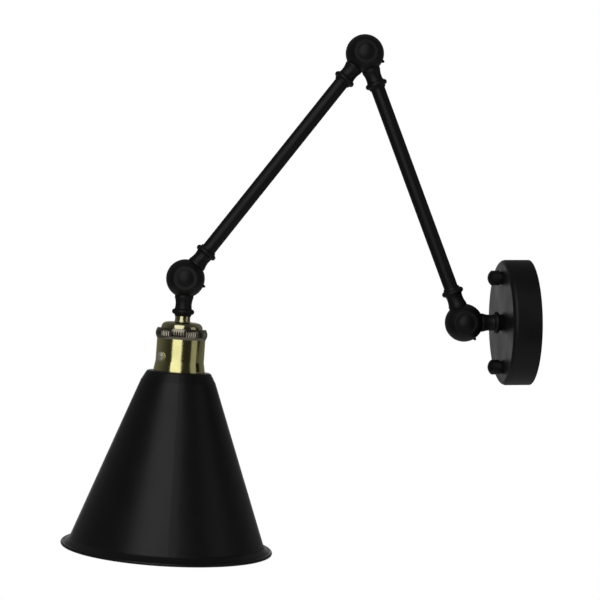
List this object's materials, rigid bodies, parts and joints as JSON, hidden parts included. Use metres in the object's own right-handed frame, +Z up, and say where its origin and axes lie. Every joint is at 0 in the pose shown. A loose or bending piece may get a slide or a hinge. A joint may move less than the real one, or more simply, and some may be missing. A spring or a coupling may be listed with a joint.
{
  "type": "accordion wall lamp",
  "caption": "Wall lamp with a round canopy, folding tube arms on clamped ball knuckles and a brass screw lamp holder with a cone shade.",
  "frame": {"origin": "centre of the canopy's back and of the wall strap, on the wall plane", "axes": "+X into the wall, so the lamp stands out along -X; +Z up; all three hinges turn about Y; the pivot screws' domed heads face -Y"},
  "size_m": [0.393, 0.1756, 0.4348],
  "materials": {
    "black_paint": "fine-textured satin black powder coat",
    "shade_paint": "smooth satin black paint, inside and out",
    "aged_brass": "polished antique brass with a thin lacquer",
    "contact_brass": "bright brass",
    "zinc_steel": "zinc-plated steel",
    "bright_screw": "bright plated steel",
    "porcelain": "glazed white porcelain",
    "block_nylon": "moulded nylon",
    "ring_moulding": "moulded black phenolic",
    "lead_sheath": "flexible sheath"
  },
  "bodies": {
    "wall_plate": {"wall_bracket": "zinc_steel", "bracket_studs": "zinc_steel", "stud_lock_nuts": "zinc_steel", "canopy": "black_paint", "canopy_nuts": "black_paint", "terminal_block": "block_nylon", "clamp_screws": "zinc_steel", "block_screw": "zinc_steel", "earth_screw": "contact_brass", "stem_washer": "zinc_steel", "stem_nut": "zinc_steel", "stem_lead": "lead_sheath", "wall_stem": "black_paint", "base_stop_ring": "black_paint", "base_pivot_screw": "black_paint", "base_spring_washer": "zinc_steel", "base_pivot_nut": "black_paint"},
    "lower_arm": {"lower_arm_base_knuckle": "black_paint", "lower_arm_tube": "black_paint", "lower_arm_lead": "lead_sheath", "lower_arm_elbow_knuckle": "black_paint", "elbow_stop_ring": "black_paint", "elbow_pivot_screw": "black_paint", "elbow_spring_washer": "zinc_steel", "elbow_pivot_nut": "black_paint"},
    "upper_arm": {"upper_arm_elbow_knuckle": "black_paint", "upper_arm_tube": "black_paint", "upper_arm_lead": "lead_sheath", "upper_arm_head_knuckle": "black_paint", "head_stop_ring": "black_paint", "head_pivot_screw": "black_paint", "head_spring_washer": "zinc_steel", "head_pivot_nut": "black_paint"},
    "head": {"head_stem": "black_paint", "head_lead": "lead_sheath", "holder_cap": "aged_brass", "clamp_ring": "aged_brass", "holder_shell": "aged_brass", "side_screw": "bright_screw", "holder_insert": "porcelain", "contact_screws": "contact_brass", "lamp_shell": "contact_brass", "centre_contact": "contact_brass", "shade": "shade_paint", "shade_ring": "ring_moulding"}
  },
  "joints": [
    {"name": "base_pivot", "type": "hinge", "parent": "wall_plate", "child": "lower_arm", "pos_m": [-0.05505, 0, 0], "axis": [0, 1, 0], "range_deg": [-155, 25]},
    {"name": "elbow_pivot", "type": "hinge", "parent": "lower_arm", "child": "upper_arm", "pos_m": [-0.13906, 0, 0.22589], "axis": [0, 1, 0], "range_deg": [-1.5, 215]},
    {"name": "head_pivot", "type": "hinge", "parent": "upper_arm", "child": "head", "pos_m": [-0.28941, 0, 0.03754], "axis": [0, 1, 0], "range_deg": [-36, 155]}
  ]
}
